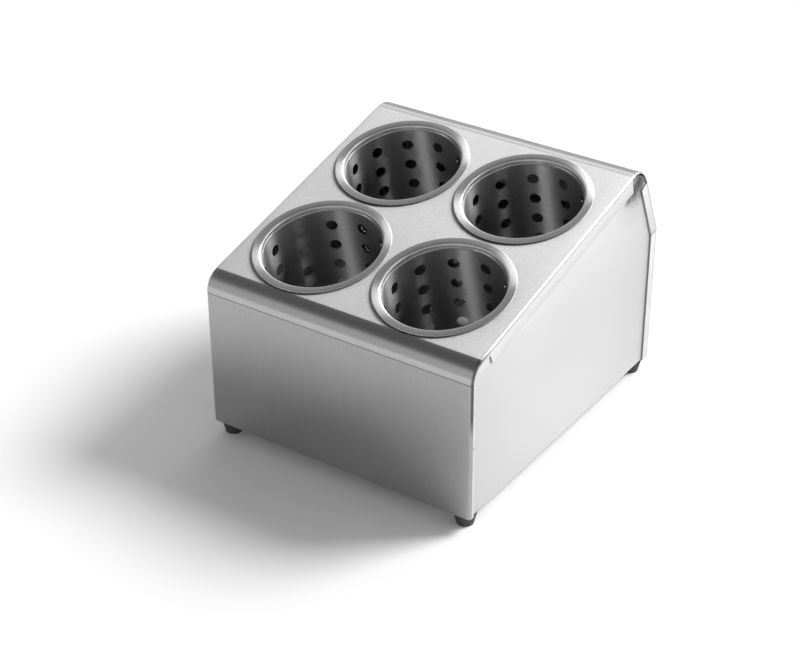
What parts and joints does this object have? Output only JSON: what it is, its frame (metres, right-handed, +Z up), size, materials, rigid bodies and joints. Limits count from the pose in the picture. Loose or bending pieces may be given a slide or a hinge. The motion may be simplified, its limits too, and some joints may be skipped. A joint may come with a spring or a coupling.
{
  "type": "cutlery dispenser",
  "caption": "Countertop cutlery dispenser: sloping bent-sheet case on rubber feet, with perforated cylinders that hang by their rims in round holes and lift out.",
  "frame": {"origin": "on the table plane under the feet, at the middle of the case's plan", "axes": "+Z up; +Y from the low front to the high back; +X to the right seen from the front"},
  "size_m": [0.244, 0.282, 0.2013],
  "materials": {
    "case_steel": "fine-grained brushed stainless sheet",
    "rim_steel": "bright turned and polished stainless ring",
    "cylinder_steel": "bright stainless sheet, drawn lengthwise",
    "foot_rubber": "dark matt rubber",
    "fastener_steel": "zinc-plated"
  },
  "bodies": {
    "case": {"outer_wrap": "case_steel", "side_panel_left": "case_steel", "side_panel_right": "case_steel", "foot_front_left": "foot_rubber", "foot_front_right": "foot_rubber", "foot_rear_left": "foot_rubber", "foot_rear_right": "foot_rubber", "foot_screws": "fastener_steel", "foot_washers": "fastener_steel", "foot_nuts": "fastener_steel"},
    "cylinder_front_left": {"rim_ring_front_left": "rim_steel", "tube_front_left": "cylinder_steel", "base_pan_front_left": "cylinder_steel"},
    "cylinder_front_right": {"rim_ring_front_right": "rim_steel", "tube_front_right": "cylinder_steel", "base_pan_front_right": "cylinder_steel"},
    "cylinder_rear_left": {"rim_ring_rear_left": "rim_steel", "tube_rear_left": "cylinder_steel", "base_pan_rear_left": "cylinder_steel"},
    "cylinder_rear_right": {"rim_ring_rear_right": "rim_steel", "tube_rear_right": "cylinder_steel", "base_pan_rear_right": "cylinder_steel"}
  },
  "joints": [
    {"name": "lift_front_left", "type": "slide", "parent": "case", "child": "cylinder_front_left", "axis": [0, -0.2368, 0.9715], "range_m": [0, 0.14]},
    {"name": "lift_front_right", "type": "slide", "parent": "case", "child": "cylinder_front_right", "axis": [0, -0.2368, 0.9715], "range_m": [0, 0.14]},
    {"name": "lift_rear_left", "type": "slide", "parent": "case", "child": "cylinder_rear_left", "axis": [0, -0.2368, 0.9715], "range_m": [0, 0.14]},
    {"name": "lift_rear_right", "type": "slide", "parent": "case", "child": "cylinder_rear_right", "axis": [0, -0.2368, 0.9715], "range_m": [0, 0.14]}
  ]
}
